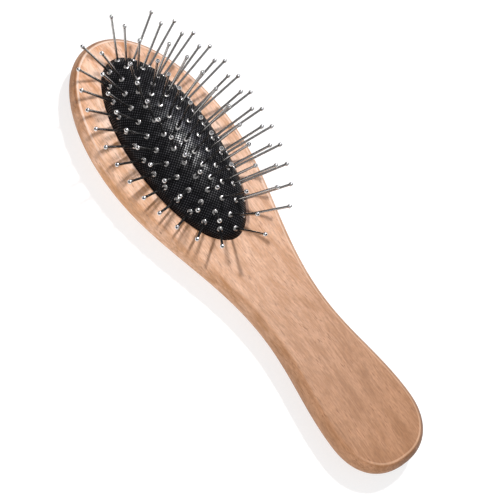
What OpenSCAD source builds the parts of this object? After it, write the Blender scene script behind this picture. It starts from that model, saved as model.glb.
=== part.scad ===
// Pin brush. A one-piece beech body carries a domed rubber cushion with a woven face,
// and ball-ended steel pins stand fanned out on the cushion in three rings and a centre row.
// The brush lies on its back with the pins up. X runs from the head's tip to the butt,
// Y across, and the origin is on the back at half the body's length.

/* [Wooden body] */
// Overall length of the body
body_length = 220; // [190:1:260]
// Thickness of the body from its back to its front face
body_thickness = 16; // [15:0.5:22]
// Greatest width of the head
head_width = 63.6; // [58:0.1:76]
// Distance from the head's tip to its widest place
head_widest = 56.9; // [48:0.1:65]
// Fullness of the head's round end, where 2 is an ellipse
head_fullness = 2.06; // [1.9:0.02:2.6]
// Width at the narrowest place of the neck
neck_width = 32; // [28:0.2:40]
// Distance from the head's tip to the narrowest place of the neck
neck_place = 146; // [130:1:155]
// Greatest width of the handle
handle_width = 41.8; // [36:0.2:50]
// Distance from the handle's widest place to the butt
handle_widest = 23.7; // [20:0.1:30]
// Fullness of the handle's round butt, where 2 is an ellipse
butt_fullness = 2.3; // [1.9:0.02:2.6]

/* [Rounded edges] */
// Depth of the side's fullest line below the front face
crest_depth = 4.2; // [3.5:0.1:8]
// Distance of the front face's edge in from the fullest line
front_inset = 2.6; // [1.5:0.1:4]
// Distance of the back's flat in from the fullest line at the head
head_back_inset = 14; // [8:0.5:15]
// Distance of the back's flat in from the fullest line at the neck
neck_back_inset = 10; // [6:0.5:11]
// Distance of the back's flat in from the fullest line at the handle
handle_back_inset = 12.5; // [7:0.5:13]
// Width of the sanded softening on the front face's edge
edge_softening = 0.7; // [0.3:0.1:1.2]

/* [Pocket for the cushion] */
// Distance from the head's tip to the middle of the cushion
cushion_place = 58.1; // [55:0.1:62]
// Depth of the pocket below the front face
pocket_depth = 8; // [6.5:0.5:10]
// Thickness of the lip of wood over the cushion's flange
lip_thickness = 2.2; // [1.5:0.1:2.6]
// Clearance between the cushion and the wood round it
seat_clearance = 0.3; // [0.2:0.05:0.5]
// Turn of the cushion and its pins in the head, as it was set by hand
cushion_turn = -2; // [-3:0.1:3]

/* [Cushion] */
// Length of the cushion at the front face
cushion_length = 92.4; // [86:0.2:94]
// Width of the cushion at the front face
cushion_width = 38.6; // [35:0.2:40]
// Height of the cushion's crown above the front face
cushion_height = 14.2; // [12.5:0.1:18]
// Thickness of the cushion's wall
cushion_wall = 2.4; // [2.2:0.1:3]
// Reach of the flange into the groove under the lip
flange_reach = 1.5; // [1:0.1:2]
// Thickness of the flange
flange_thickness = 2; // [1.2:0.1:2.4]

/* [Pins] */
// Length of a pin from the cushion's face to the top of its ball
pin_length = 22.9; // [15:0.1:26]
// Diameter of a pin's shank
shank_diameter = 1.1; // [0.7:0.05:1.3]
// Diameter of the ball on a pin's end
ball_diameter = 1.9; // [1.5:0.1:2.4]
// Diameter of the collar on the cushion's face
collar_diameter = 2.4; // [1.8:0.1:2.6]
// Height of the collar
collar_height = 0.8; // [0.6:0.1:1.2]
// Depth at which the collar beds into the cushion's face
collar_bedding = 0.4; // [0.3:0.05:0.5]
// Diameter of the flat head behind the cushion
head_diameter = 2.6; // [2:0.1:2.8]
// Thickness of the flat head
head_thickness = 0.5; // [0.4:0.1:0.8]
// Length of shank gripped by the cushion's wall
grip_length = 1.3; // [1:0.1:1.4]
// Radial clearance between a pin and the cushion
pin_clearance = 0.05; // [0.02:0.01:0.1]
// How soon the sideways lean grows round a ring, where 1 follows the oval evenly
lean_spread = 0.57; // [0.5:0.01:1]

/* [Outer ring of pins] */
// Number of pins in the outer ring
outer_pins = 28; // [20:2:30]
// Distance of the outer ring from the cushion's two ends
outer_end_margin = 2.4; // [1.6:0.1:2.8]
// Distance of the outer ring from the cushion's two sides
outer_side_margin = 1.9; // [1.6:0.1:2.5]
// Lean of the outer ring's pins at the ends
outer_end_lean = 32.3; // [25:0.1:45]
// Lean of the outer ring's pins at the sides
outer_side_lean = 51.2; // [45:0.1:60]

/* [Second ring of pins] */
// Number of pins in the second ring
second_pins = 24; // [16:2:26]
// Distance of the second ring from the cushion's two ends
second_end_margin = 7.9; // [6:0.1:9]
// Distance of the second ring from the cushion's two sides
second_side_margin = 6.9; // [6:0.1:8]
// Lean of the second ring's pins at the ends
second_end_lean = 25.3; // [20:0.1:34]
// Lean of the second ring's pins at the sides
second_side_lean = 39.7; // [32:0.1:48]

/* [Third ring of pins] */
// Number of pins in the third ring
third_pins = 18; // [12:2:20]
// Distance of the third ring from the cushion's two ends
third_end_margin = 15.1; // [13:0.1:17]
// Distance of the third ring from the cushion's two sides
third_side_margin = 12.8; // [12:0.1:13.5]
// Lean of the third ring's pins at the ends
third_end_lean = 18.8; // [15:0.1:27]
// Lean of the third ring's pins at the sides
third_side_lean = 22.1; // [16:0.1:30]

/* [Centre row of pins] */
// Number of pins in the centre row
centre_pins = 8; // [4:1:9]
// Distance between neighbours in the centre row
centre_pitch = 6.14; // [4:0.02:6.4]
// Lean of the two end pins of the centre row
centre_end_lean = 12.1; // [5:0.1:20]

/* [Hidden] */

// Stations along each of the outline's four stretches
STRETCH_STEPS = 12;
// Steps in the rounded back of the body's section
BACK_STEPS = 6;
// Steps in the curve between the fullest line and the front edge
SIDE_STEPS = 3;
// Steps round the cushion's ovals
OVAL_STEPS = 72;
// Steps from the cushion's rim to its crown
DOME_STEPS = 8;
// Steps used to measure the length of a ring
ARC_STEPS = 360;
// Sides of the circles on a pin
PIN_FN = 48;
// Overlap that lets a cut run clean past a surface
CUT_PAST = 1;

head_tip_x = -body_length / 2;
butt_x = body_length / 2;
head_x = head_tip_x + head_widest;
neck_x = head_tip_x + neck_place;
handle_x = butt_x - handle_widest;
cushion_x = head_tip_x + cushion_place;

front_z = body_thickness;
crest_z = front_z - crest_depth;
flange_top_z = front_z - lip_thickness - seat_clearance;
flange_bottom_z = flange_top_z - flange_thickness;
pocket_floor_z = front_z - pocket_depth;

cushion_a = cushion_length / 2;
cushion_b = cushion_width / 2;

shank_r = shank_diameter / 2;
ball_r = ball_diameter / 2;
collar_r = collar_diameter / 2;
head_r = head_diameter / 2;
head_top = -collar_bedding - grip_length;
collar_top = collar_height - collar_bedding;
centre_half_length = centre_pitch * (centre_pins - 1) / 2;

// Point at an angle round one quarter of a full oval, 0 on the long axis
function full_oval(half_length, half_width, fullness, angle) =
    [half_length * pow(cos(angle), 2 / fullness), half_width * pow(sin(angle), 2 / fullness)];

// Half-width that eases from one value to another as t goes from 0 to 1
function eased(from, to, t) = to + (from - to) * (1 + cos(180 * t)) / 2;

// One side of the outline, from the head's tip to the butt
function half_outline() = concat(
    [for (i = [0:STRETCH_STEPS - 1])
        let (p = full_oval(head_widest, head_width / 2, head_fullness, 90 * i / STRETCH_STEPS))
        [head_x - p.x, p.y]],
    [for (i = [0:STRETCH_STEPS - 1])
        let (t = i / STRETCH_STEPS)
        [head_x + (neck_x - head_x) * t, eased(head_width, neck_width, t) / 2]],
    [for (i = [0:STRETCH_STEPS - 1])
        let (t = i / STRETCH_STEPS)
        [neck_x + (handle_x - neck_x) * t, eased(neck_width, handle_width, t) / 2]],
    [for (i = [0:STRETCH_STEPS])
        let (p = full_oval(handle_widest, handle_width / 2, butt_fullness, 90 - 90 * i / STRETCH_STEPS))
        [handle_x + p.x, p.y]]
);

// Mirror of one side, without the two points on the long axis
function mirrored(side) = [for (i = [len(side) - 2:-1:1]) [side[i].x, -side[i].y]];

function outline() = let (side = half_outline()) concat(side, mirrored(side));

// Inset of the back's flat at each point of the outline
function back_insets() =
    let (
        side = concat(
            [for (i = [0:STRETCH_STEPS - 1]) head_back_inset],
            [for (i = [0:STRETCH_STEPS - 1])
                eased(head_back_inset, neck_back_inset, i / STRETCH_STEPS)],
            [for (i = [0:STRETCH_STEPS - 1])
                eased(neck_back_inset, handle_back_inset, i / STRETCH_STEPS)],
            [for (i = [0:STRETCH_STEPS]) handle_back_inset]
        )
    )
    concat(side, [for (i = [len(side) - 2:-1:1]) side[i]]);

// Outward normal at each point of a closed outline that runs clockwise
function outward(points, i) =
    let (
        count = len(points),
        along = points[(i + 1) % count] - points[(i + count - 1) % count]
    )
    [-along.y, along.x] / norm(along);

// Closed outline moved in by a share of the back's inset and a distance, at a height
function inset_ring(points, backs, level) =
    [for (i = [0:len(points) - 1])
        let (p = points[i] - (level[0] * backs[i] + level[1]) * outward(points, i))
        [p.x, p.y, level[2]]];

// Section of the side from the back's flat to the front face, for inset_ring
function body_section() =
    let (
        soft_start = 1 - edge_softening / crest_depth,
        start = [0, front_inset * pow(soft_start, 2), crest_z + crest_depth * soft_start],
        corner = [0, front_inset, front_z],
        end = [0, front_inset + edge_softening, front_z]
    )
    concat(
        [for (i = [0:BACK_STEPS])
            let (angle = 90 * i / BACK_STEPS)
            [1 - sin(angle), 0, crest_z * (1 - cos(angle))]],
        [for (i = [1:SIDE_STEPS])
            let (u = soft_start * i / SIDE_STEPS)
            [0, front_inset * u * u, crest_z + crest_depth * u]],
        [(start + 2 * corner + end) / 4, end]
    );

// Faces that close a stack of equal rings, each ring running clockwise from above
function side_faces(rings, count) =
    [for (k = [0:rings - 2], i = [0:count - 1])
        let (j = (i + 1) % count)
        each [
            [k * count + i, (k + 1) * count + i, (k + 1) * count + j],
            [k * count + i, (k + 1) * count + j, k * count + j]
        ]];

// Strips across a ring that is the same on both sides of the long axis
function cap_faces(first, count, up) =
    let (half = count / 2)
    [for (i = [0:half - 1])
        let (
            across = [i, i + 1, count - i - 1, (count - i) % count],
            strip = i == 0 ? [0, 1, count - 1]
                : i == half - 1 ? [half - 1, half, half + 1]
                : across
        )
        [for (n = [0:len(strip) - 1]) first + strip[up ? n : len(strip) - 1 - n]]];

// Solid body before the pocket is cut
module body_blank() {
    points = outline();
    backs = back_insets();
    section = body_section();
    count = len(points);
    levels = len(section);
    polyhedron(
        points = [for (s = section) each inset_ring(points, backs, s)],
        faces = concat(
            side_faces(levels, count),
            cap_faces(0, count, false),
            cap_faces((levels - 1) * count, count, true)
        ),
        convexity = 4
    );
}

// Sets the children at the cushion's middle, turned with it
module at_cushion() {
    translate([cushion_x, 0, 0])
        rotate([0, 0, cushion_turn])
            children();
}

// Oval plate larger than the cushion by a margin, between two heights
module oval_plate(margin, low, high) {
    translate([0, 0, low])
        linear_extrude(high - low)
            polygon([for (i = [0:OVAL_STEPS - 1])
                let (t = 360 * i / OVAL_STEPS)
                [(cushion_a + margin) * cos(t), (cushion_b + margin) * sin(t)]]);
}

// Body with the pocket and the groove that holds the cushion's flange
module wood_body() {
    color("burlywood")
        difference() {
            body_blank();
            at_cushion() {
                oval_plate(seat_clearance, pocket_floor_z, front_z + CUT_PAST);
                oval_plate(flange_reach + seat_clearance, flange_bottom_z, flange_top_z + seat_clearance);
            }
        }
}

// Level of the cushion's shell, as half-length, half-width and height
function dome_level(wall, angle) = [
    (cushion_a - wall) * cos(angle),
    (cushion_b - wall) * cos(angle),
    front_z + (cushion_height - wall) * sin(angle)
];

// Levels from just below the inner crown, out under the flange, and up to the outer crown
function cushion_levels() = concat(
    [for (i = [DOME_STEPS - 1:-1:0]) dome_level(cushion_wall, 90 * i / DOME_STEPS)],
    [
        [cushion_a - cushion_wall, cushion_b - cushion_wall, flange_bottom_z],
        [cushion_a + flange_reach, cushion_b + flange_reach, flange_bottom_z],
        [cushion_a + flange_reach, cushion_b + flange_reach, flange_top_z],
        [cushion_a, cushion_b, flange_top_z]
    ],
    [for (i = [0:DOME_STEPS - 1]) dome_level(0, 90 * i / DOME_STEPS)]
);

// Faces that close one end of the stack to a single point
function fan_faces(first, apex, up) =
    [for (i = [0:OVAL_STEPS - 1])
        let (j = (i + 1) % OVAL_STEPS)
        up ? [first + i, apex, first + j] : [first + j, apex, first + i]];

// Hollow domed shell with its flange, before the pins pass through it
module cushion_shell() {
    levels = cushion_levels();
    ring_points = [for (s = levels, i = [0:OVAL_STEPS - 1])
        let (t = -360 * i / OVAL_STEPS)
        [s[0] * cos(t), s[1] * sin(t), s[2]]];
    inner_crown = len(ring_points);
    polyhedron(
        points = concat(ring_points, [
            [0, 0, front_z + cushion_height - cushion_wall],
            [0, 0, front_z + cushion_height]
        ]),
        faces = concat(
            side_faces(len(levels), OVAL_STEPS),
            fan_faces(0, inner_crown, false),
            fan_faces(inner_crown - OVAL_STEPS, inner_crown + 1, true)
        ),
        convexity = 6
    );
}

// Height of the cushion's face above a point given from the cushion's middle
function dome_z(x, y) =
    front_z + cushion_height * sqrt(1 - pow(x / cushion_a, 2) - pow(y / cushion_b, 2));

// Lengths along an oval, paired with the angle that each is reached at
function arc_table(a, b) =
    [for (
        i = 0, run = 0;
        i <= ARC_STEPS;
        run = run + norm([a * sin(360 * i / ARC_STEPS), b * cos(360 * i / ARC_STEPS)]), i = i + 1
    ) [run, 360 * i / ARC_STEPS]];

// Angles of points set at equal distances round an oval, from one end of its long axis
function even_angles(a, b, count) =
    let (table = arc_table(a, b), whole = table[ARC_STEPS][0])
    [for (k = [0:count - 1]) lookup(whole * k / count, table)];

// Feet and directions of a ring of pins that fan outwards
function ring_stations(end_margin, side_margin, count, end_lean, side_lean) =
    let (a = cushion_a - end_margin, b = cushion_b - side_margin)
    [for (t = even_angles(a, b, count))
        let (
            x = a * cos(t),
            y = b * sin(t),
            sideways = tan(side_lean) * sign(y) * pow(abs(sin(t)), lean_spread)
        )
        [[x, y, dome_z(x, y)], [tan(end_lean) * cos(t), sideways, 1]]];

function outer_stations() =
    ring_stations(outer_end_margin, outer_side_margin, outer_pins, outer_end_lean, outer_side_lean);
function second_stations() =
    ring_stations(second_end_margin, second_side_margin, second_pins, second_end_lean, second_side_lean);
function third_stations() =
    ring_stations(third_end_margin, third_side_margin, third_pins, third_end_lean, third_side_lean);
function centre_stations() =
    [for (k = [0:centre_pins - 1])
        let (x = centre_pitch * k - centre_half_length)
        [[x, 0, dome_z(x, 0)], [tan(centre_end_lean) * x / centre_half_length, 0, 1]]];

// Sets the children on each station, with their own Z along its direction
module at_stations(stations) {
    for (s = stations) {
        sideways = norm([s[1].x, s[1].y]);
        translate(s[0])
            rotate([0, atan2(sideways, s[1].z), sideways > 0 ? atan2(s[1].y, s[1].x) : 0])
                children();
    }
}

// One-piece pin along Z with the cushion's face at zero
module pin() {
    ball_z = pin_length - ball_r;
    sphere_z = [0, 0, ball_z];
    rotate_extrude($fn = PIN_FN)
        polygon([
            [0, head_top - head_thickness],
            [head_r, head_top - head_thickness],
            [head_r, head_top],
            [shank_r, head_top],
            [shank_r, -collar_bedding],
            [collar_r, -collar_bedding],
            [collar_r, (collar_top - collar_bedding) / 2],
            [shank_r, collar_top],
            [shank_r, ball_z],
            [0, ball_z]
        ]);
    translate(sphere_z)
        sphere(ball_r, $fn = PIN_FN);
}

// Room that a pin takes out of the cushion, with its collar and head bedded in
module pin_seat() {
    collar_seat_r = collar_r + pin_clearance;
    head_seat_r = head_r + pin_clearance;
    head_room = cushion_wall + CUT_PAST;
    rotate_extrude($fn = PIN_FN)
        polygon([
            [0, head_top - head_room],
            [head_seat_r, head_top - head_room],
            [head_seat_r, head_top],
            [shank_r + pin_clearance, head_top],
            [shank_r + pin_clearance, -collar_bedding],
            [collar_seat_r, -collar_bedding],
            [collar_seat_r, CUT_PAST],
            [0, CUT_PAST]
        ]);
}

module cushion() {
    color("dimgray")
        at_cushion()
            difference() {
                cushion_shell();
                at_stations(outer_stations()) pin_seat();
                at_stations(second_stations()) pin_seat();
                at_stations(third_stations()) pin_seat();
                at_stations(centre_stations()) pin_seat();
            }
}

module pins_outer_ring() {
    color("silver")
        at_cushion() at_stations(outer_stations()) pin();
}

module pins_second_ring() {
    color("silver")
        at_cushion() at_stations(second_stations()) pin();
}

module pins_third_ring() {
    color("silver")
        at_cushion() at_stations(third_stations()) pin();
}

module pins_centre_row() {
    color("silver")
        at_cushion() at_stations(centre_stations()) pin();
}

wood_body();
cushion();
pins_outer_ring();
pins_second_ring();
pins_third_ring();
pins_centre_row();
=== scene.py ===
"""Pin brush: the look of a wooden grooming brush that lies on its back, pins up.

The body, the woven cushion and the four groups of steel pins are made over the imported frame.
X runs from the head's tip to the butt, Y across, Z up out of the pin side, in metres.
"""

import math

import bmesh
import bpy
from mathutils import Matrix, Vector


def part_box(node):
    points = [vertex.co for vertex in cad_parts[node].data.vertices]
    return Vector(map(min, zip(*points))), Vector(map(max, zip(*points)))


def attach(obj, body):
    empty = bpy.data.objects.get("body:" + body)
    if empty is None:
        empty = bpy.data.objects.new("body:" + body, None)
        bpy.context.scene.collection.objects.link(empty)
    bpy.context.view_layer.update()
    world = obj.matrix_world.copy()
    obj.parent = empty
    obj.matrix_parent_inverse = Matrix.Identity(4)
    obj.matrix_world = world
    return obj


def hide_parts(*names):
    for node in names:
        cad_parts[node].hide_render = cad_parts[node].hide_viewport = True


bl_info = {
    "name": "Pin Brush",
    "version": (1, 0, 0),
    "blender": (4, 5, 0),
    "location": "View3D > Sidebar > Pin Brush",
    "description": "Wooden pin brush with a woven air cushion and fanned steel pins",
    "category": "Object",
}

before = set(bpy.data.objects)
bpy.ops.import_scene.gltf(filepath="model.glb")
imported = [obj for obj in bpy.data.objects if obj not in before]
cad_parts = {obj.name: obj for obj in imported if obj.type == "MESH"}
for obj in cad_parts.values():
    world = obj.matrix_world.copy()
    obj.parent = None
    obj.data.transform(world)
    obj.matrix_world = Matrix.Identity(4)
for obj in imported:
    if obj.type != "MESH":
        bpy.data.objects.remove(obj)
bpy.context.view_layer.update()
BODY_LOW, BODY_HIGH = (Vector(corner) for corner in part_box("wood_body"))
CUSHION_LOW, CUSHION_HIGH = (Vector(corner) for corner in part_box("cushion"))

MM = 0.001
BELOW_TIP = "below_tip"
PIN_SIDES = 20
WELD = 0.002 * MM
FLOOR_SIDES = 96
TOWARD_CAMERA = (0.13665, -0.44389, 0.8856)
CAMERA_UP = (-0.79135, 0.48885, 0.36713)
CAMERA_RIGHT_SHIFT, CAMERA_UP_SHIFT = 5.687 * MM, 4.264 * MM


# Properties that a user may change

def length(name, description, default, low=0.0, high=1.0):
    """A size in metres, as a property."""
    return bpy.props.FloatProperty(
        name=name, description=description, default=default, min=low, max=high,
        unit="LENGTH", subtype="DISTANCE", precision=5,
    )


def angle(name, description, degrees, low=-90.0, high=90.0):
    """An angle, as a property whose default is given in degrees."""
    return bpy.props.FloatProperty(
        name=name, description=description, default=math.radians(degrees),
        min=math.radians(low), max=math.radians(high), unit="ROTATION", subtype="ANGLE",
    )


def share(name, description, default, low=0.0, high=1.0):
    """A plain factor, as a property."""
    return bpy.props.FloatProperty(
        name=name, description=description, default=default, min=low, max=high, subtype="FACTOR",
    )


def colour(name, description, default):
    """A colour, as a property."""
    return bpy.props.FloatVectorProperty(
        name=name, description=description, default=default, size=3, min=0.0, max=1.0,
        subtype="COLOR",
    )


class BrushBodyProps(bpy.types.PropertyGroup):
    """Sizes and colours of the wooden body."""

    length: length("Length", "Overall length of the body", BODY_HIGH.x - BODY_LOW.x)
    thickness: length("Thickness", "From the back to the front face", BODY_HIGH.z - BODY_LOW.z)
    head_width: length("Head width", "Greatest width of the head", BODY_HIGH.y - BODY_LOW.y)
    head_widest: length("Head widest", "From the head's tip to its widest place", 56.9 * MM)
    head_fullness: share("Head fullness", "Fullness of the head's end; 2 is an ellipse", 2.06, 1, 4)
    neck_width: length("Neck width", "Width at the narrowest place of the neck", 32.0 * MM)
    neck_place: length("Neck place", "From the head's tip to the narrowest place", 146.0 * MM)
    handle_width: length("Handle width", "Greatest width of the handle", 41.8 * MM)
    handle_widest: length("Handle widest", "From the handle's widest place to the butt", 23.7 * MM)
    butt_fullness: share("Butt fullness", "Fullness of the butt; 2 is an ellipse", 2.3, 1, 4)
    crest_depth: length("Crest depth", "Depth of the side's fullest line", 4.2 * MM)
    front_inset: length("Front inset", "Front edge in from the fullest line", 2.6 * MM)
    head_back_inset: length("Head back inset", "Back's flat in from the head's side", 14.0 * MM)
    neck_back_inset: length("Neck back inset", "Back's flat in from the neck's side", 10.0 * MM)
    handle_back_inset: length("Handle back inset", "Back's flat in from the handle's side", 12.5 * MM)
    edge_softening: length("Edge softening", "Width of the sanded front edge", 0.7 * MM)
    pocket_depth: length("Pocket depth", "Depth of the pocket under the cushion", 8.0 * MM)
    lip_thickness: length("Lip thickness", "Wood over the cushion's flange", 2.2 * MM)
    seat_clearance: length("Seat clearance", "Gap between cushion and wood", 0.3 * MM)
    head_pale: colour("Head pale", "Light tone of the beech at the head", (0.70, 0.43, 0.29))
    head_warm: colour("Head warm", "Warm tone of the beech at the head", (0.52, 0.26, 0.125))
    tip_tint: colour("Tip tint", "Tint of the wood at the head's tip", (0.93, 0.80, 0.66))
    handle_pale: colour("Handle pale", "Light tone at the handle", (0.40, 0.203, 0.107))
    handle_warm: colour("Handle warm", "Warm tone at the handle", (0.29, 0.136, 0.062))
    # Dark pores of the wood; the same colour also paints the shade line below the front edge and the
    # shadow in the gap by the cushion.
    dark_pore_and_shade: colour("Dark fleck", "Colour of the short dark pores", (0.13, 0.05, 0.02))
    # Painted highlight: the pale colour round the cushion paints gloss on the wood's face, strongest
    # toward the head.
    rim_gloss_colour: colour("Rim pale", "Scrubbed wood round the cushion", (0.86, 0.68, 0.57))
    rim_reach: share("Rim reach", "How far the scrubbed wood goes, by the cushion's size", 1.42, 1, 3)
    # Pale front edge: partly wear, partly a painted highlight where the edge catches the light.
    edge_wear_highlight: colour("Worn edge", "Front edge where the oil is rubbed off", (0.82, 0.53, 0.37))
    # Painted light and shade on the side band: the first colour lightens the sides, the next two
    # darken them at the head's tip and at the butt, where they face away from the light.
    side_painted_light: colour("Side tint", "Tint of the sides, where the oil is thick", (1.05, 1.08, 1.12))
    tip_side_painted_shade: colour("Tip side tint", "Tint of the sides at the head's tip", (0.62, 0.62, 0.62))
    butt_side_painted_shade: colour("Butt side tint", "Tint of the side at the butt", (0.72, 0.80, 0.98))
    streak_length: length("Streak length", "Length of the grain's streaks", 26.0 * MM)
    streak_width: length("Streak width", "Width of the grain's streaks", 1.0 * MM)


class CushionProps(bpy.types.PropertyGroup):
    """Sizes and colours of the domed cushion."""

    place: length("Place", "From the head's tip to the cushion's middle", 58.1 * MM)
    turn: angle("Turn", "Turn of the cushion and its pins in the head", -2.0)
    half_length: length("Half-length", "Half the cushion's length at the face", 46.2 * MM)
    half_width: length("Half-width", "Half the cushion's width at the face", 19.3 * MM)
    height: length("Height", "Crown above the wood's face", CUSHION_HIGH.z - BODY_HIGH.z)
    wall: length("Wall", "Thickness of the rubber and cloth", 2.4 * MM)
    flange_reach: length("Flange reach", "Reach of the flange under the lip", 1.5 * MM)
    flange_thickness: length("Flange thickness", "Thickness of the flange", 2.0 * MM)
    dimple_depth: length("Dimple depth", "How far the cloth dips round a pin", 0.3 * MM)
    dimple_radius: length("Dimple radius", "Reach of the dip round a pin", 1.9 * MM)
    thread_pitch: length("Thread pitch", "Distance between neighbouring threads", 0.707 * MM)
    thread_turn: angle("Thread turn", "Turn of the threads against the brush", 6.5)
    # Lighter base of the floats: partly the thread's own tone, partly painted sheen.
    float_sheen_colour: colour("Float colour", "Glossy floats of the warp", (0.020, 0.019, 0.024))
    thread_colour: colour("Thread colour", "Dull threads of the weft", (0.005, 0.005, 0.006))
    # Painted shade: the hollows between the threads are darker.
    gap_shade_colour: colour("Gap colour", "Colour between the threads", (0.001, 0.001, 0.001))


class PinRing(bpy.types.PropertyGroup):
    """Layout of one group of pins; a group with no side lean is a straight row."""

    count: bpy.props.IntProperty(name="Pins", description="Number of pins", default=8, min=2)
    half_length: length("Half-length", "Half the group's length", 21.5 * MM)
    half_width: length("Half-width", "Half the group's width", 0.0)
    end_lean: angle("End lean", "Lean of the pins at the ends", 12.0)
    side_lean: angle("Side lean", "Lean of the pins at the sides", 0.0)


class PinProps(bpy.types.PropertyGroup):
    """Sizes and colours shared by all pins."""

    length: length("Length", "From the cushion's face to the top of the ball", 22.9 * MM)
    shank: length("Shank diameter", "Diameter of the shank", 1.1 * MM)
    ball: length("Ball diameter", "Diameter of the ball", 1.9 * MM)
    collar: length("Collar diameter", "Diameter of the collar on the cushion", 2.4 * MM)
    collar_top: length("Collar height", "Collar above the cushion's face, and below it", 0.4 * MM)
    head: length("Head diameter", "Diameter of the flat head behind the rubber", 2.6 * MM)
    head_top: length("Head depth", "Depth of the flat head below the face", 1.7 * MM)
    head_thickness: length("Head thickness", "Thickness of the flat head", 0.5 * MM)
    lean_spread: share("Lean spread", "How soon the sideways lean grows round a ring", 0.57, 0.3, 1)
    steel: colour("Steel", "Colour of the polished balls", (0.70, 0.69, 0.68))
    wire: colour("Wire", "Colour of the drawn shanks and their collars", (0.44, 0.425, 0.41))
    # A dark spot at the ball's end; the mesh has no hollow there.
    end_spot: colour("Pit", "Colour of the dull pit at the ball's end", (0.03, 0.03, 0.03))
    outer: bpy.props.PointerProperty(type=PinRing)
    second: bpy.props.PointerProperty(type=PinRing)
    third: bpy.props.PointerProperty(type=PinRing)
    centre: bpy.props.PointerProperty(type=PinRing)


class StageProps(bpy.types.PropertyGroup):
    """Floor, light and camera."""

    floor_colour: colour("Floor", "Colour of the plain floor", (0.40, 0.40, 0.40))
    floor_glow: share("Floor glow", "Light that shines through the floor from below", 0.66, 0, 5)
    world_colour: colour("Surround", "Colour of the soft light above", (0.95, 0.96, 1.0))
    world_strength: share("Surround strength", "Strength of the soft light", 0.42, 0, 5)
    horizon: share("Horizon", "Share of the soft light that is left at the horizon", 0.20, 0, 1)
    table_reach: length("Table reach", "From the middle of the floor to its edge", 2.0, 0.2, 5)
    wall_height: length("Wall height", "Height of the pale backdrop round the floor", 1.0, 0.1, 5)
    key_power: bpy.props.FloatProperty(
        name="Key power", description="Power of the key light", default=9.8, min=0, unit="POWER")
    fill_power: bpy.props.FloatProperty(
        name="Fill power", description="Power of the low light at the near side",
        default=5.0, min=0, unit="POWER")
    sheen_power: bpy.props.FloatProperty(
        name="Sheen power", description="Power of the low panel that is seen only as gloss",
        default=3.3, min=0, unit="POWER")
    canopy_power: bpy.props.FloatProperty(
        name="Canopy power", description="Power of the wide panel that is seen only as gloss",
        default=5.0, min=0, unit="POWER")
    camera_distance: length("Camera distance", "From the camera to the origin", 711.2 * MM, 0.1, 5)
    camera_lens: bpy.props.FloatProperty(
        name="Lens", description="Focal length for a 36 mm sensor", default=121.03, unit="CAMERA")


# Node trees

class Channel:
    """A node's output socket that adds Math nodes when it is used in an expression."""

    def __init__(self, tree, socket):
        self.tree = tree
        self.socket = socket

    def _math(self, operation, first, second):
        return self.tree.node("ShaderNodeMath", {"operation": operation}, [first, second])

    def __add__(self, other):
        return self._math("ADD", self, other)

    __radd__ = __add__

    def __sub__(self, other):
        return self._math("SUBTRACT", self, other)

    def __rsub__(self, other):
        return self._math("SUBTRACT", other, self)

    def __mul__(self, other):
        return self._math("MULTIPLY", self, other)

    __rmul__ = __mul__

    def __truediv__(self, other):
        return self._math("DIVIDE", self, other)

    def __pow__(self, other):
        return self._math("POWER", self, other)

    def __mod__(self, other):
        return self._math("FLOORED_MODULO", self, other)

    def floor(self):
        return self._math("FLOOR", self, 0.0)

    def sin(self):
        return self._math("SINE", self, 0.0)

    def tan(self):
        return self._math("TANGENT", self, 0.0)

    def sign(self):
        return self._math("SIGN", self, 0.0)

    def abs(self):
        return self._math("ABSOLUTE", self, 0.0)

    def max(self, other):
        return self._math("MAXIMUM", self, other)

    def above(self, low, high):
        """0 below low, 1 above high, smooth between."""
        return self.tree.node(
            "ShaderNodeMapRange", {"interpolation_type": "SMOOTHSTEP"},
            {"Value": self, "From Min": low, "From Max": high})


class Tree:
    """A node tree that is filled by short calls."""

    def __init__(self, tree):
        self.tree = tree
        self.tree.nodes.clear()

    def node(self, kind, settings=None, inputs=None, output=0):
        """Adds a node: its settings first, then the values or links of its inputs."""
        node = self.tree.nodes.new(kind)
        for name, value in (settings or {}).items():
            setattr(node, name, value)
        pairs = inputs.items() if isinstance(inputs, dict) else enumerate(inputs or [])
        for key, value in pairs:
            for part in value if isinstance(value, list) else [value]:
                if isinstance(part, Channel):
                    self.tree.links.new(part.socket, node.inputs[key])
                else:
                    node.inputs[key].default_value = part
        return Channel(self, node.outputs[output] if len(node.outputs) else None)

    def parts(self, vector, *axes):
        """The named components of a vector."""
        split = self.node("ShaderNodeSeparateXYZ", None, [vector]).socket.node
        return [Channel(self, split.outputs[axis]) for axis in axes]

    def vector(self, x, y, z):
        return self.node("ShaderNodeCombineXYZ", None, [x, y, z])


class Shape(Tree):
    """A Geometry Nodes tree with named inputs and one geometry as its output."""

    def __init__(self, name, inputs):
        group = bpy.data.node_groups.new(name, "GeometryNodeTree")
        group.interface.new_socket("Geometry", in_out="OUTPUT", socket_type="NodeSocketGeometry")
        for label, kind in inputs:
            group.interface.new_socket(label, in_out="INPUT", socket_type="NodeSocket" + kind)
        super().__init__(group)
        given = self.tree.nodes.new("NodeGroupInput")
        self.given = {label: Channel(self, given.outputs[label]) for label, kind in inputs}

    def moved(self, geometry, place, turn=(0.0, 0.0, 0.0), scale=(1.0, 1.0, 1.0)):
        return self.node("GeometryNodeTransform", None, {
            "Geometry": geometry, "Translation": place, "Rotation": turn, "Scale": scale})

    def disc(self, sides, radius, low, high):
        """Upright cylinder between two heights."""
        body = self.node("GeometryNodeMeshCylinder", None, {
            "Vertices": sides, "Radius": radius, "Depth": high - low})
        return self.moved(body, self.vector(0.0, 0.0, (low + high) * 0.5))

    def finish(self, geometry, material):
        """Ends the tree in a real mesh that wears the material."""
        real = self.node("GeometryNodeRealizeInstances", None, [geometry])
        worn_and_highlit = self.node("GeometryNodeSetMaterial", None, {"Geometry": real, "Material": material})
        self.node("NodeGroupOutput", None, [worn_and_highlit])
        return self.tree


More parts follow.
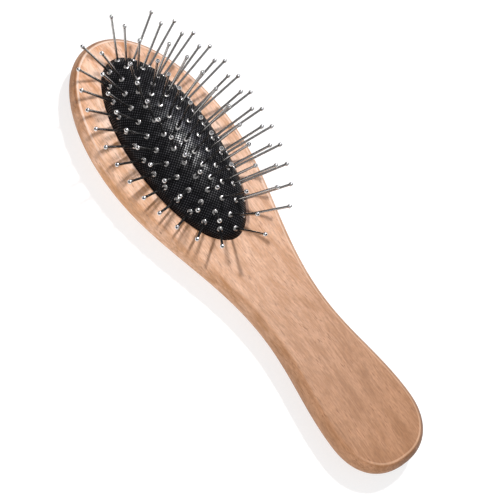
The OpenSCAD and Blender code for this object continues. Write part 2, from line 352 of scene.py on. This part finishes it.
class Finish(Tree):
    """A material whose colour and relief come from nodes."""

    def __init__(self, name):
        self.material = bpy.data.materials.new(name)
        self.material.use_nodes = True
        super().__init__(self.material.node_tree)

    def place(self, scale=(1.0, 1.0, 1.0)):
        """Object coordinates, scaled."""
        coordinates = self.node("ShaderNodeTexCoord", output="Object")
        return self.node("ShaderNodeMapping", None, {"Vector": coordinates, "Scale": scale})

    def noise(self, vector, scale=1.0, detail=2.0, roughness=0.5, output=0):
        return self.node("ShaderNodeTexNoise", None, {
            "Vector": vector, "Scale": scale, "Detail": detail, "Roughness": roughness},
            output=output)

    def blend(self, factor, first, second, mode="MIX"):
        """Mix of two colours, each a colour or a link."""
        first, second = (
            tone if isinstance(tone, Channel) else (*tone, 1.0) for tone in (first, second))
        return self.node(
            "ShaderNodeMix", {"data_type": "RGBA", "blend_type": mode},
            {0: factor, 6: first, 7: second}, output=2)

    def bump(self, height, distance, strength=1.0):
        return self.node("ShaderNodeBump", None, {
            "Height": height, "Distance": distance, "Strength": strength})

    def surface(self, **inputs):
        """Closes the material with a Principled BSDF whose inputs are named with underscores."""
        named = {key.replace("_", " "): value for key, value in inputs.items()}
        shader = self.node("ShaderNodeBsdfPrincipled", None, named)
        self.node("ShaderNodeOutputMaterial", None, {"Surface": shader})
        return self.material


# Mesh building

def eased(start, end, t):
    """Value that eases from start to end as t goes from 0 to 1."""
    return end + (start - end) * (1 + math.cos(math.pi * t)) / 2


def quarter_oval(half_length, half_width, fullness, turn):
    """Point round one quarter of a full oval, 0 on the long axis."""
    return (
        half_length * abs(math.cos(turn)) ** (2 / fullness),
        half_width * abs(math.sin(turn)) ** (2 / fullness),
    )


def outline_side(body, steps):
    """One side of the body's outline from tip to butt, as (x, y, inset of the back's flat)."""
    tip = -body.length / 2
    head_x = tip + body.head_widest
    neck_x = tip + body.neck_place
    handle_x = body.length / 2 - body.handle_widest
    side = []
    for i in range(steps):
        along, out = quarter_oval(
            body.head_widest, body.head_width / 2, body.head_fullness, math.pi / 2 * i / steps)
        side.append((head_x - along, out, body.head_back_inset))
    stretches = (
        (head_x, neck_x, body.head_width, body.neck_width,
         body.head_back_inset, body.neck_back_inset),
        (neck_x, handle_x, body.neck_width, body.handle_width,
         body.neck_back_inset, body.handle_back_inset),
    )
    for start, end, wide_start, wide_end, back_start, back_end in stretches:
        for i in range(steps):
            t = i / steps
            side.append((
                start + (end - start) * t,
                eased(wide_start, wide_end, t) / 2,
                eased(back_start, back_end, t),
            ))
    for i in range(steps + 1):
        along, out = quarter_oval(
            body.handle_widest, body.handle_width / 2, body.butt_fullness,
            math.pi / 2 * (1 - i / steps))
        side.append((handle_x + along, out, body.handle_back_inset))
    return side


def side_section(body, back_steps, side_steps, soft_steps):
    """The side's section, as (share of the back's inset, further inset, height)."""
    crest = body.thickness - body.crest_depth
    soft_start = 1 - body.edge_softening / body.crest_depth
    start = Vector((body.front_inset * soft_start ** 2, crest + body.crest_depth * soft_start))
    corner = Vector((body.front_inset, body.thickness))
    end = Vector((body.front_inset + body.edge_softening, body.thickness))
    section = []
    for i in range(back_steps + 1):
        turn = math.pi / 2 * i / back_steps
        section.append((1 - math.sin(turn), 0.0, crest * (1 - math.cos(turn))))
    for i in range(1, side_steps + 1):
        u = soft_start * i / side_steps
        section.append((0.0, body.front_inset * u * u, crest + body.crest_depth * u))
    for i in range(1, soft_steps + 1):
        t = i / soft_steps
        inset, height = (1 - t) ** 2 * start + 2 * t * (1 - t) * corner + t * t * end
        section.append((0.0, inset, height))
    return section


def skin(mesh, rings, closed_ends=True):
    """Faces between equal rings of vertices, and over the first and last ring."""
    count = len(rings[0])
    for low, high in zip(rings, rings[1:]):
        for i in range(count):
            j = (i + 1) % count
            mesh.faces.new((low[i], low[j], high[j], high[i]))
    if closed_ends:
        mesh.faces.new(list(reversed(rings[0])))
        mesh.faces.new(rings[-1])


def as_object(mesh, name, crease=None):
    """Object of a bmesh, smooth but for edges sharper than crease."""
    bmesh.ops.recalc_face_normals(mesh, faces=mesh.faces)
    data = bpy.data.meshes.new(name)
    mesh.to_mesh(data)
    mesh.free()
    data.shade_smooth()
    if crease is not None:
        data.set_sharp_from_angle(angle=crease)
    piece = bpy.data.objects.new(name, data)
    bpy.context.scene.collection.objects.link(piece)
    return piece


def settle(piece):
    """Turns a piece's live modifiers into its plain mesh, without empty material slots."""
    graph = bpy.context.evaluated_depsgraph_get()
    data = bpy.data.meshes.new_from_object(piece.evaluated_get(graph), depsgraph=graph)
    piece.modifiers.clear()
    for slot in reversed(range(len(data.materials))):
        if data.materials[slot] is None:
            data.materials.pop(index=slot)
    piece.data = data
    data.name = piece.name


def dress(piece, material):
    piece.data.materials.clear()
    piece.data.materials.append(material)


def cushion_frame(cushion, body):
    """Matrix from the cushion's own frame, on the wood's face, to the object's."""
    middle = Vector((cushion.place - body.length / 2, 0.0, body.thickness))
    return Matrix.Translation(middle) @ Matrix.Rotation(cushion.turn, 4, "Z")


def oval_stack(cushion, body, levels, steps):
    """Closed bmesh through ovals that are larger than the cushion by a margin at a height."""
    mesh = bmesh.new()
    at = cushion_frame(cushion, body)
    rings = []
    for margin, height in levels:
        rings.append([
            mesh.verts.new(at @ Vector((
                (cushion.half_length + margin) * math.cos(math.tau * i / steps),
                (cushion.half_width + margin) * math.sin(math.tau * i / steps),
                height)))
            for i in range(steps)])
    skin(mesh, rings)
    return mesh


def dome_height(cushion, x, y):
    """Height of the cushion's face over a point in its own frame."""
    inside = 1 - (x / cushion.half_length) ** 2 - (y / cushion.half_width) ** 2
    return cushion.height * math.sqrt(max(inside, 0.0))


# Materials

def beech(body, cushion):
    """Oiled beech: fibres, streaks and blotches, dark pores, darker handle, painted gloss round the
    cushion, a pale front edge from wear and a painted highlight, painted light and shade on the
    sides, a painted shade line below the front edge and a painted shadow in the gap by the cushion.
    """
    wood = Finish("beech_oiled")
    place = wood.place()
    drift = wood.noise(place, 9.0, 1.0, output="Color")
    bent = wood.node("ShaderNodeVectorMath", {"operation": "MULTIPLY_ADD"},
                     {0: drift, 1: (0.0, 12 * MM, 12 * MM), 2: place})

    def grain(long, wide, detail, roughness):
        """Noise drawn out along the brush, its lumps long and wide by shares of a streak."""
        across = 1 / (wide * body.streak_width)
        vector = wood.node("ShaderNodeMapping", None, {
            "Vector": bent, "Scale": (1 / (long * body.streak_length), across, across)})
        return wood.noise(vector, 1.0, detail, roughness)

    streaks = grain(1.0, 1.0, 3.0, 0.65)
    bands = grain(3.0, 7.0, 2.0, 0.5)
    blotches = grain(0.40, 4.5, 3.0, 0.65)
    fibres = grain(0.10, 0.55, 2.0, 0.6)
    pores = grain(0.14, 0.62, 1.0, 0.5)
    veins = grain(4.0, 0.9, 1.0, 0.5)
    tone = (streaks * 0.30 + bands * 0.24 + blotches * 0.46).above(0.39, 0.61)
    flecks = pores.above(0.60, 0.70) * blotches.above(0.40, 0.60)
    along, across, height = wood.parts(place, "X", "Y", "Z")
    from_tip = along + body.length / 2
    handle = from_tip.above(50 * MM, 195 * MM)
    pale = wood.blend(handle, tuple(body.head_pale), tuple(body.handle_pale))
    warm = wood.blend(handle, tuple(body.head_warm), tuple(body.handle_warm))
    base = wood.blend(tone, warm, pale)
    at_tip = 1.0 - from_tip.above(5 * MM, 50 * MM)
    base = wood.blend(at_tip, base, tuple(body.tip_tint), "MULTIPLY")
    below = body.thickness - height
    front = 1.0 - below.above(2.0 * MM, 4.0 * MM)
    x = from_tip - cushion.place
    ring = ((x / cushion.half_length) ** 2.0 + (across / cushion.half_width) ** 2.0) ** 0.5
    # Painted highlight: blotchy pale gloss on the face round the cushion, fading toward the handle.
    painted_gloss = (1.0 - ring.above(1.0, body.rim_reach)) * blotches.above(0.35, 0.62)
    painted_gloss = painted_gloss * (1.0 - x.above(0.0, 0.8 * cushion.half_length)) * front
    base = wood.blend(painted_gloss * 0.5, base, tuple(body.rim_gloss_colour))
    # Painted shadow: a dark line on the face just outside the pocket, on the +Y side, where the gap
    # beside the cushion lies in shade.
    painted_gap_shadow = (1.0 - ring.above(1.012, 1.036)) * across.above(0.0, 10 * MM) * front
    base = wood.blend(painted_gap_shadow * 0.9, base, tuple(body.dark_pore_and_shade))
    speckled = wood.blend(1.0, base, fibres * 0.8 + 0.60, "MULTIPLY")
    veined = wood.blend(veins.above(0.66, 0.72) * 0.5, speckled, pale)
    shaded = wood.blend(flecks * 0.5, veined, tuple(body.dark_pore_and_shade))
    side = below.above(0.5 * MM, 1.2 * MM)
    # Pale front edge: a little wear everywhere, and a painted highlight on the lit +Y side, at the
    # butt and at the head's tip.
    edge = below.above(0.003 * MM, 0.05 * MM) * (1.0 - below.above(0.22 * MM, 0.50 * MM))
    rubbed_and_lit = across.above(-4 * MM, 10 * MM).max(from_tip.above(202 * MM, 218 * MM))
    rubbed_and_lit = rubbed_and_lit.max(1.0 - from_tip.above(30 * MM, 50 * MM))
    edge = edge * (rubbed_and_lit * 0.65 + bands.above(0.45, 0.60) * 0.2)
    # Painted shade: a dark line 0.3 to 1.6 mm below the front face, strongest at the head's tip and
    # at the butt, where the side turns away from the light; the mesh has no groove there.
    groove = below.above(0.3 * MM, 0.7 * MM) * (1.0 - below.above(0.9 * MM, 1.6 * MM))
    at_butt = from_tip.above(198 * MM, 212 * MM) * across.above(-14 * MM, 2 * MM)
    # Painted light and shade on the side band below the front edge: lighter along most of it, darker
    # at the head's tip and at the butt.
    side_light_and_shade = wood.blend(at_tip, tuple(body.side_painted_light), tuple(body.tip_side_painted_shade))
    side_light_and_shade = wood.blend(at_butt, side_light_and_shade, tuple(body.butt_side_painted_shade))
    side_painted = wood.blend(side, shaded, wood.blend(1.0, shaded, side_light_and_shade, "MULTIPLY"))
    shade_lined = wood.blend(
        groove * (at_tip * 0.45 + at_butt * 0.25 + 0.08), side_painted, tuple(body.dark_pore_and_shade))
    # Colour of the pale front edge: wear and a painted highlight.
    bare_and_highlit = wood.blend(handle, tuple(body.rim_gloss_colour), tuple(body.edge_wear_highlight))
    worn_and_highlit = wood.blend(edge * (0.9 - handle * 0.35), shade_lined, bare_and_highlit)
    relief = wood.bump(streaks * 0.4 + fibres * 0.5 - flecks * 0.7, 0.12 * MM, 0.5)
    return wood.surface(
        Base_Color=worn_and_highlit, Roughness=streaks * 0.2 + side * 0.15 + 0.34, Normal=relief,
        Specular_IOR_Level=0.22)


def woven_cloth(cushion):
    """Plain black weave: glossy floats of one thread over dull ones of the other, with partly painted
    sheen on the floats and painted shade in the hollows between the threads.
    """
    cloth = Finish("black_weave")
    per_thread = 1 / cushion.thread_pitch
    place = cloth.node("ShaderNodeMapping", None, {
        "Vector": cloth.node("ShaderNodeUVMap", {"uv_map": "weave"}),
        "Rotation": (0.0, 0.0, cushion.thread_turn + cushion.turn),
        "Scale": (per_thread, per_thread, per_thread)})
    along, across = cloth.parts(place, "X", "Y")
    parity = (along.floor() + across.floor()) % 2.0
    warp_round = (across * math.pi).sin().abs()
    weft_round = (along * math.pi).sin().abs()
    warp = warp_round * weft_round ** 0.35 * parity
    weft = weft_round * warp_round ** 0.35 * (1.0 - parity)
    height = warp.max(weft)
    uneven = cloth.noise(place, 0.21, 3.0, 0.6)
    lit = warp * uneven.above(0.2, 0.7)
    # Painted shade: the weave darkens towards the low hollows between the threads.
    under = cloth.blend(height, tuple(cushion.gap_shade_colour), tuple(cushion.thread_colour))
    # The floats' lighter base is partly painted sheen; their real gloss comes from the coat.
    base = cloth.blend(lit, under, tuple(cushion.float_sheen_colour))
    return cloth.surface(
        Base_Color=base, Roughness=0.95 - lit * 0.3, Specular_IOR_Level=0.08,
        Coat_Weight=lit, Coat_Roughness=0.28, Coat_IOR=1.6,
        Normal=cloth.bump(height, 0.16 * MM, 0.5))


def polished_steel(pins):
    """Balls polished on their outer half, with a dark, rougher spot at the end, and duller drawn
    shanks.
    """
    steel = Finish("polished_steel")
    marks = steel.noise(steel.place(scale=(2600.0, 2600.0, 900.0)), 1.0, 2.0)
    below_tip = steel.node("ShaderNodeAttribute", {"attribute_name": BELOW_TIP}, output="Fac")
    # A dark, rougher spot at each ball's end; the mesh has no hollow there.
    end_spot = 1.0 - below_tip.above(0.06, 0.12)
    shank = below_tip.above(0.8, 1.3)
    drawn = steel.blend(shank * (1.0 - marks * 0.3), tuple(pins.steel), tuple(pins.wire))
    end_spotted = steel.blend(end_spot, drawn, tuple(pins.end_spot))
    return steel.surface(
        Base_Color=end_spotted, Metallic=1.0,
        Roughness=marks * 0.05 + end_spot * 0.3 + shank * 0.06 + 0.07)


# Operators

class PINBRUSH_OT_body(bpy.types.Operator):
    """Make the wooden body with the cushion's pocket"""

    bl_idname = "pinbrush.body"
    bl_label = "Wooden body"

    def execute(self, context):
        body, cushion = context.scene.brush_body, context.scene.brush_cushion
        side = outline_side(body, steps=40)
        points = side + [(x, -y, back) for x, y, back in reversed(side[1:-1])]
        count = len(points)
        outward = []
        for i in range(count):
            ahead, behind = points[(i + 1) % count], points[i - 1]
            along = Vector((ahead[0] - behind[0], ahead[1] - behind[1]))
            outward.append(Vector((-along.y, along.x)).normalized())
        mesh = bmesh.new()
        rings = []
        for portion, inset, height in side_section(body, 16, 8, 5):
            ring = []
            for (x, y, back), out in zip(points, outward):
                depth = portion * back + inset
                ring.append(mesh.verts.new((x - depth * out.x, y - depth * out.y, height)))
            rings.append(ring)
        skin(mesh, rings)
        piece = as_object(mesh, "brush_body")

        gap = body.seat_clearance
        under_lip = -body.lip_thickness
        groove = under_lip - gap - cushion.flange_thickness
        reach = cushion.flange_reach + gap
        pocket = as_object(oval_stack(cushion, body, [
            (gap, -body.pocket_depth), (gap, groove), (reach, groove),
            (reach, under_lip), (gap, under_lip), (gap, MM)], steps=160), "pocket_cutter")
        cut = piece.modifiers.new("pocket", "BOOLEAN")
        cut.operation, cut.solver, cut.object = "DIFFERENCE", "EXACT", pocket
        settle(piece)
        bpy.data.objects.remove(pocket)
        piece.data.shade_smooth()
        piece.data.set_sharp_from_angle(angle=math.radians(35))
        dress(piece, beech(body, cushion))
        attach(piece, "root")
        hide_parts("wood_body")
        return {"FINISHED"}


class PINBRUSH_OT_cushion(bpy.types.Operator):
    """Make the domed cushion with its woven face"""

    bl_idname = "pinbrush.cushion"
    bl_label = "Woven cushion"

    def execute(self, context):
        scene = context.scene
        body, cushion = scene.brush_body, scene.brush_cushion
        at = cushion_frame(cushion, body)
        steps, dome_steps = 240, 48
        flange_top = -body.lip_thickness - body.seat_clearance
        flange_low = flange_top - cushion.flange_thickness

        def level(wall, turn):
            return (
                (cushion.half_length - wall) * math.cos(turn),
                (cushion.half_width - wall) * math.cos(turn),
                (cushion.height - wall) * math.sin(turn))

        turns = [math.pi / 2 * i / dome_steps for i in range(dome_steps)]
        inner_a, inner_b = cushion.half_length - cushion.wall, cushion.half_width - cushion.wall
        outer_a = cushion.half_length + cushion.flange_reach
        outer_b = cushion.half_width + cushion.flange_reach
        levels = [level(cushion.wall, turn) for turn in reversed(turns)]
        levels += [
            (inner_a, inner_b, flange_low), (outer_a, outer_b, flange_low),
            (outer_a, outer_b, flange_top),
            (cushion.half_length, cushion.half_width, flange_top)]
        face_start = len(levels)
        levels += [level(0.0, turn) for turn in turns]

        mesh = bmesh.new()
        rings = [
            [mesh.verts.new((a * math.cos(math.tau * i / steps),
                             b * math.sin(math.tau * i / steps), z)) for i in range(steps)]
            for a, b, z in levels]
        skin(mesh, rings, closed_ends=False)
        inner_crown = mesh.verts.new((0, 0, cushion.height - cushion.wall))
        crown = mesh.verts.new((0, 0, cushion.height))
        for i in range(steps):
            j = (i + 1) % steps
            mesh.faces.new((rings[0][j], rings[0][i], inner_crown))
            mesh.faces.new((rings[-1][i], rings[-1][j], crown))
        spread = {crown: Vector((0.0, 0.0))}
        for i in range(steps):
            far, last = 0.0, crown.co
            for ring in reversed(rings[face_start:]):
                far += (ring[i].co - last).length
                last = ring[i].co
                spread[ring[i]] = last.xy.normalized() * far
        weave = mesh.loops.layers.uv.new("weave")
        for face in mesh.faces:
            for corner in face.loops:
                corner[weave].uv = spread.get(corner.vert, corner.vert.co.xy)
        bmesh.ops.transform(mesh, matrix=at, verts=mesh.verts)
        feet = [foot for group in ("outer", "second", "third", "centre")
                for foot in pin_feet(scene, group)]
        reach = 3 * cushion.dimple_radius
        for vertex in [v for ring in rings[face_start:] for v in ring] + [crown]:
            dip = 0.0
            for foot in feet:
                apart = (vertex.co - foot).length
                if apart < reach:
                    dip += math.exp(-(apart / cushion.dimple_radius) ** 2)
            vertex.co.z -= cushion.dimple_depth * min(dip, 1.2)
        piece = as_object(mesh, "woven_cushion", crease=math.radians(50))
        dress(piece, woven_cloth(cushion))
        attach(piece, "root")
        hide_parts("cushion")
        return {"FINISHED"}


PIN_INPUTS = (
    ("Ring", "Bool"), ("Feet only", "Bool"), ("Pins", "Int"),
    ("Half-length", "Float"), ("Half-width", "Float"),
    ("End lean", "Float"), ("Side lean", "Float"), ("Lean spread", "Float"),
    ("Dome half-length", "Float"), ("Dome half-width", "Float"), ("Dome height", "Float"),
    ("Dome place", "Vector"), ("Dome turn", "Float"),
    ("Length", "Float"), ("Shank", "Float"), ("Ball", "Float"),
    ("Collar", "Float"), ("Collar height", "Float"),
    ("Head", "Float"), ("Head depth", "Float"), ("Head thickness", "Float"),
    ("Material", "Material"),
)


def one_pin(shape):
    """One ball-ended pin along Z, the cushion's face at zero: its parts united into one solid."""
    size = shape.given
    shank, ball, collar, head = (
        size[name] * 0.5 for name in ("Shank", "Ball", "Collar", "Head"))
    ball_place = size["Length"] - ball
    head_top = size["Head depth"] * -1.0
    wire = shape.disc(PIN_SIDES, shank, head_top - size["Head thickness"] * 0.5, ball_place)
    flat_head = shape.disc(PIN_SIDES, head, head_top - size["Head thickness"], head_top)
    tip = shape.moved(
        shape.node("GeometryNodeMeshUVSphere", None, {
            "Segments": PIN_SIDES, "Rings": 14, "Radius": ball}),
        shape.vector(0.0, 0.0, ball_place))
    round_collar = shape.moved(
        shape.node("GeometryNodeMeshUVSphere", None, {
            "Segments": PIN_SIDES, "Rings": 10, "Radius": collar}),
        (0.0, 0.0, 0.0), scale=shape.vector(1.0, 1.0, size["Collar height"] / collar))
    united = shape.node("GeometryNodeMeshBoolean", {"operation": "UNION", "solver": "EXACT"}, {
        "Mesh 2": [wire, flat_head, tip, round_collar]})
    welded = shape.node("GeometryNodeMergeByDistance", None, {"Geometry": united, "Distance": WELD})
    (height,) = shape.parts(shape.node("GeometryNodeInputPosition"), "Z")
    marked = shape.node(
        "GeometryNodeStoreNamedAttribute", {"data_type": "FLOAT", "domain": "POINT"},
        {"Geometry": welded, "Name": BELOW_TIP, "Value": (size["Length"] - height) / ball})
    return shape.node("GeometryNodeSetShadeSmooth", None, [marked])


def pin_tree():
    """Tree that sets out pins along an oval or a row on the dome and leans each outwards."""
    shape = Shape("fanned_pins", PIN_INPUTS)
    size = shape.given
    circle = shape.node("GeometryNodeCurvePrimitiveCircle", None, {
        "Resolution": 1440, "Radius": 1.0})
    row = shape.node("GeometryNodeCurvePrimitiveLine", None, {
        "Start": (-1.0, 0.0, 0.0), "End": (1.0, 0.0, 0.0)})
    path = shape.node("GeometryNodeSwitch", {"input_type": "GEOMETRY"}, {
        "Switch": size["Ring"], "False": row, "True": circle})
    oval = shape.moved(
        path, (0.0, 0.0, 0.0), scale=shape.vector(size["Half-length"], size["Half-width"], 1.0))
    even = shape.node("GeometryNodeResampleCurve", {"mode": "COUNT"}, {
        "Curve": oval, "Count": size["Pins"]})
    points = shape.node("GeometryNodeCurveToPoints", {"mode": "EVALUATED"}, {"Curve": even})
    x, y = shape.parts(shape.node("GeometryNodeInputPosition"), "X", "Y")
    inside = 1.0 - (x / size["Dome half-length"]) ** 2.0 - (y / size["Dome half-width"]) ** 2.0
    feet = shape.node("GeometryNodeSetPosition", None, {
        "Geometry": points,
        "Position": shape.vector(x, y, size["Dome height"] * inside.max(0.0) ** 0.5)})
    lengthwise = x / size["Half-length"]
    sideways = y / size["Half-width"].max(0.001 * MM)
    lean = shape.vector(
        size["End lean"].tan() * lengthwise,
        size["Side lean"].tan() * sideways.sign() * sideways.abs() ** size["Lean spread"], 1.0)
    turn = shape.node("FunctionNodeAlignRotationToVector", {"axis": "Z"}, {"Vector": lean})
    pins = shape.node("GeometryNodeInstanceOnPoints", None, {
        "Points": feet, "Instance": one_pin(shape), "Rotation": turn})
    shown = shape.node("GeometryNodeSwitch", {"input_type": "GEOMETRY"}, {
        "Switch": size["Feet only"], "False": pins,
        "True": shape.node("GeometryNodePointsToVertices", None, {"Points": feet})})
    placed = shape.moved(shown, size["Dome place"], shape.vector(0.0, 0.0, size["Dome turn"]))
    return shape.finish(placed, size["Material"])


def set_out_pins(scene, name, group_name, material=None, feet_only=False):
    """Object that holds one group's pins, or only their feet, as a plain mesh."""
    pins, cushion, body = scene.brush_pins, scene.brush_cushion, scene.brush_body
    group = getattr(pins, group_name)
    values = {
        "Ring": group.half_width > 0.0, "Feet only": feet_only, "Pins": group.count,
        "Half-length": group.half_length, "Half-width": group.half_width,
        "End lean": group.end_lean, "Side lean": group.side_lean,
        "Lean spread": pins.lean_spread,
        "Dome half-length": cushion.half_length, "Dome half-width": cushion.half_width,
        "Dome height": cushion.height,
        "Dome place": cushion_frame(cushion, body).to_translation(), "Dome turn": cushion.turn,
        "Length": pins.length, "Shank": pins.shank, "Ball": pins.ball,
        "Collar": pins.collar, "Collar height": pins.collar_top,
        "Head": pins.head, "Head depth": pins.head_top, "Head thickness": pins.head_thickness,
        "Material": material,
    }
    piece = bpy.data.objects.new(name, bpy.data.meshes.new(name))
    scene.collection.objects.link(piece)
    modifier = piece.modifiers.new("pins", "NODES")
    modifier.node_group = bpy.data.node_groups.get("fanned_pins") or pin_tree()
    for socket in modifier.node_group.interface.items_tree:
        if socket.in_out == "INPUT" and values[socket.name] is not None:
            modifier[socket.identifier] = values[socket.name]
    settle(piece)
    return piece


def pin_feet(scene, group_name):
    """Where one group's pins stand."""
    piece = set_out_pins(scene, "feet_" + group_name, group_name, feet_only=True)
    feet = [vertex.co.copy() for vertex in piece.data.vertices]
    bpy.data.objects.remove(piece)
    return feet


class PINBRUSH_OT_pins(bpy.types.Operator):
    """Make one group of steel pins on the cushion"""

    bl_idname = "pinbrush.pins"
    bl_label = "Steel pins"

    group: bpy.props.StringProperty(name="Group", description="Which group", default="outer")
    node: bpy.props.StringProperty(
        name="Node", description="CAD node that it stands for", default="pins_outer_ring")

    def execute(self, context):
        scene = context.scene
        steel = polished_steel(scene.brush_pins)
        piece = set_out_pins(scene, "steel_" + self.node, self.group, steel)
        piece.data.set_sharp_from_angle(angle=math.radians(50))
        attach(piece, "root")
        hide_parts(self.node)
        return {"FINISHED"}


class PINBRUSH_OT_stage(bpy.types.Operator):
    """Set up the floor, the soft light and the camera"""

    bl_idname = "pinbrush.stage"
    bl_label = "Stage"

    def execute(self, context):
        scene = context.scene
        stage = scene.brush_stage
        mesh = bmesh.new()
        bmesh.ops.create_circle(
            mesh, cap_ends=True, segments=FLOOR_SIDES, radius=stage.table_reach)
        floor = as_object(mesh, "floor")
        paper = Finish("pale_floor")
        speckle = paper.noise(paper.place(), 900.0, 2.0)
        tone = tuple(stage.floor_colour)
        shaded_tone = tuple(part * 0.985 for part in tone)
        dress(floor, paper.surface(
            Base_Color=paper.blend(speckle, tone, shaded_tone),
            Roughness=0.8, Emission_Color=(1.0, 1.0, 1.0, 1.0),
            Emission_Strength=stage.floor_glow))

        wall = bmesh.new()
        turns = [math.tau * i / FLOOR_SIDES for i in range(FLOOR_SIDES)]
        rings = [
            [wall.verts.new((stage.table_reach * math.cos(turn),
                             stage.table_reach * math.sin(turn), height)) for turn in turns]
            for height in (-stage.wall_height, stage.wall_height)]
        skin(wall, rings, closed_ends=False)
        backdrop = as_object(wall, "backdrop")
        pale = Finish("pale_backdrop")
        cloud = pale.noise(pale.place(), 2.0, 1.0)
        dress(backdrop, pale.surface(
            Base_Color=pale.blend(cloud, tone, shaded_tone),
            Roughness=0.9, Emission_Color=(1.0, 1.0, 1.0, 1.0), Emission_Strength=0.9))
        backdrop.visible_diffuse = backdrop.visible_glossy = backdrop.visible_shadow = False

        world = bpy.data.worlds.new("soft_surround")
        world.use_nodes = True
        surround = Tree(world.node_tree)
        (upwards,) = surround.parts(surround.node("ShaderNodeTexCoord", output="Generated"), "Z")
        rise = upwards.above(0.0, 0.52) * (1.0 - stage.horizon) + stage.horizon
        glow = surround.node("ShaderNodeBackground", None, {
            "Color": (*stage.world_colour, 1.0), "Strength": rise * stage.world_strength})
        surround.node("ShaderNodeOutputWorld", None, {"Surface": glow})
        scene.world = world

        def lamp(name, power, size, place, aim):
            data = bpy.data.lights.new(name, "AREA")
            data.energy, data.shape, data.size = power, "DISK", size
            lamp = bpy.data.objects.new(name, data)
            lamp.location = place
            lamp.rotation_euler = (Vector(place) - Vector(aim)).to_track_quat("Z", "Y").to_euler()
            scene.collection.objects.link(lamp)
            return lamp

        head = Vector((-0.05, 0.0, 0.02))
        lamp("key", stage.key_power, 0.09, (-0.207, 0.339, 1.0), head)
        fill = lamp("fill", stage.fill_power, 1.1, (0.36, -0.72, 0.36), head)
        sheen = lamp("sheen", stage.sheen_power, 0.34, (-0.28, 0.60, 0.66), head)
        canopy = lamp("canopy", stage.canopy_power, 1.5, (-0.05, 0.25, 1.3), head)
        sheen.visible_diffuse = canopy.visible_diffuse = fill.visible_glossy = False
        sheen.data.color = (0.86, 0.87, 1.0)

        toward = Vector(TOWARD_CAMERA).normalized()
        up = Vector(CAMERA_UP)
        right = up.cross(toward).normalized()
        up = toward.cross(right)
        camera = bpy.data.objects.new("camera", bpy.data.cameras.new("camera"))
        camera.data.lens = stage.camera_lens
        camera.data.sensor_width = 36.0
        place = toward * stage.camera_distance + right * CAMERA_RIGHT_SHIFT + up * CAMERA_UP_SHIFT
        turned = Matrix((right, up, toward)).transposed().to_4x4()
        camera.matrix_world = Matrix.Translation(place) @ turned
        scene.collection.objects.link(camera)
        scene.camera = camera
        scene.view_settings.view_transform = "Standard"
        return {"FINISHED"}


class PINBRUSH_PT_panel(bpy.types.Panel):
    """Buttons that make the brush and its stage"""

    bl_idname = "PINBRUSH_PT_panel"
    bl_label = "Pin brush"
    bl_space_type = "VIEW_3D"
    bl_region_type = "UI"
    bl_category = "Pin Brush"

    def draw(self, context):
        for operator in (PINBRUSH_OT_body, PINBRUSH_OT_cushion, PINBRUSH_OT_pins, PINBRUSH_OT_stage):
            self.layout.operator(operator.bl_idname)


CLASSES = (
    BrushBodyProps, CushionProps, PinRing, PinProps, StageProps,
    PINBRUSH_OT_body, PINBRUSH_OT_cushion, PINBRUSH_OT_pins, PINBRUSH_OT_stage,
    PINBRUSH_PT_panel,
)
GROUPS = {
    "brush_body": BrushBodyProps, "brush_cushion": CushionProps,
    "brush_pins": PinProps, "brush_stage": StageProps,
}


def register():
    for cls in CLASSES:
        bpy.utils.register_class(cls)
    for name, group in GROUPS.items():
        setattr(bpy.types.Scene, name, bpy.props.PointerProperty(type=group))


def unregister():
    for name in GROUPS:
        delattr(bpy.types.Scene, name)
    for cls in reversed(CLASSES):
        bpy.utils.unregister_class(cls)


def lay_out(group, count, half_length, half_width, end_lean, side_lean):
    """Sets the layout of one group of pins."""
    group.count = count
    group.half_length, group.half_width = half_length, half_width
    group.end_lean, group.side_lean = math.radians(end_lean), math.radians(side_lean)


def main():
    register()
    pins = bpy.context.scene.brush_pins
    lay_out(pins.outer, 28, 43.8 * MM, 17.4 * MM, 32.3, 51.2)
    lay_out(pins.second, 24, 38.3 * MM, 12.4 * MM, 25.3, 39.7)
    lay_out(pins.third, 18, 31.1 * MM, 6.5 * MM, 18.8, 22.1)
    lay_out(pins.centre, 8, 21.49 * MM, 0.0, 12.1, 0.0)
    bpy.ops.pinbrush.stage()
    bpy.ops.pinbrush.body()
    bpy.ops.pinbrush.cushion()
    bpy.ops.pinbrush.pins(group="outer", node="pins_outer_ring")
    bpy.ops.pinbrush.pins(group="second", node="pins_second_ring")
    bpy.ops.pinbrush.pins(group="third", node="pins_third_ring")
    bpy.ops.pinbrush.pins(group="centre", node="pins_centre_row")


if __name__ == "__main__":
    main()
